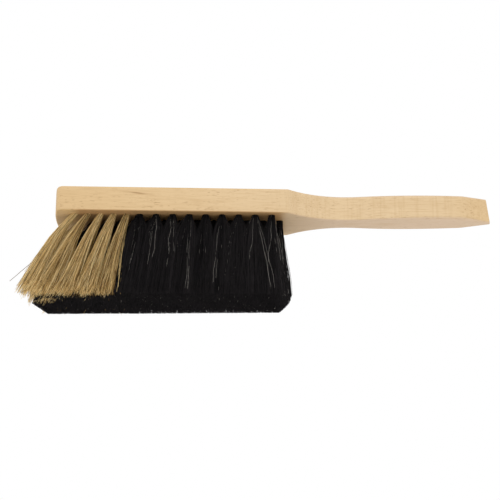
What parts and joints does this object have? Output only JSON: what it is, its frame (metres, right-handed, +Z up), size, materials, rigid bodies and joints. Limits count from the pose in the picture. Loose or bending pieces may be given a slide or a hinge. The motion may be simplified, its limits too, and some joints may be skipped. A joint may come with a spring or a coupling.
{
  "type": "hand broom",
  "caption": "Wooden hand broom with a one-piece beech stock and handle, black hair tufts and a pale beard at the front.",
  "frame": {"origin": "under the middle of the broom's length and width, on the plane of the trimmed hair tips", "axes": "+X along the handle, away from the hair; +Z up, from the hair tips to the top of the stock"},
  "size_m": [0.3224, 0.0582, 0.0753],
  "materials": {
    "beech": "sanded, unvarnished",
    "black_hair": "loose horsehair",
    "pale_hair": "loose horsehair",
    "staple_wire": "bright drawn wire"
  },
  "bodies": {
    "root": {"left_inner_beard_tuft_01": "pale_hair", "left_inner_tuft_02": "black_hair", "left_inner_tuft_03": "black_hair", "left_inner_tuft_04": "black_hair", "left_inner_tuft_05": "black_hair", "left_inner_tuft_06": "black_hair", "left_inner_tuft_07": "black_hair", "left_inner_tuft_08": "black_hair", "left_inner_tuft_09": "black_hair", "left_inner_tuft_10": "black_hair", "left_inner_tuft_11": "black_hair", "left_inner_tuft_12": "black_hair", "left_inner_tuft_13": "black_hair", "left_inner_tuft_14": "black_hair", "left_outer_beard_tuft_01": "pale_hair", "left_outer_beard_tuft_02": "pale_hair", "left_outer_beard_tuft_03": "pale_hair", "left_outer_beard_tuft_04": "pale_hair", "left_outer_beard_tuft_05": "pale_hair", "left_outer_tuft_06": "black_hair", "left_outer_tuft_07": "black_hair", "left_outer_tuft_08": "black_hair", "left_outer_tuft_09": "black_hair", "left_outer_tuft_10": "black_hair", "left_outer_tuft_11": "black_hair", "left_outer_tuft_12": "black_hair", "left_outer_tuft_13": "black_hair", "left_outer_tuft_14": "black_hair", "right_inner_beard_tuft_01": "pale_hair", "right_inner_tuft_02": "black_hair", "right_inner_tuft_03": "black_hair", "right_inner_tuft_04": "black_hair", "right_inner_tuft_05": "black_hair", "right_inner_tuft_06": "black_hair", "right_inner_tuft_07": "black_hair", "right_inner_tuft_08": "black_hair", "right_inner_tuft_09": "black_hair", "right_inner_tuft_10": "black_hair", "right_inner_tuft_11": "black_hair", "right_inner_tuft_12": "black_hair", "right_inner_tuft_13": "black_hair", "right_inner_tuft_14": "black_hair", "right_outer_beard_tuft_01": "pale_hair", "right_outer_beard_tuft_02": "pale_hair", "right_outer_beard_tuft_03": "pale_hair", "right_outer_beard_tuft_04": "pale_hair", "right_outer_beard_tuft_05": "pale_hair", "right_outer_tuft_06": "black_hair", "right_outer_tuft_07": "black_hair", "right_outer_tuft_08": "black_hair", "right_outer_tuft_09": "black_hair", "right_outer_tuft_10": "black_hair", "right_outer_tuft_11": "black_hair", "right_outer_tuft_12": "black_hair", "right_outer_tuft_13": "black_hair", "right_outer_tuft_14": "black_hair", "stock": "beech", "tuft_staples": "staple_wire"}
  },
  "joints": []
}
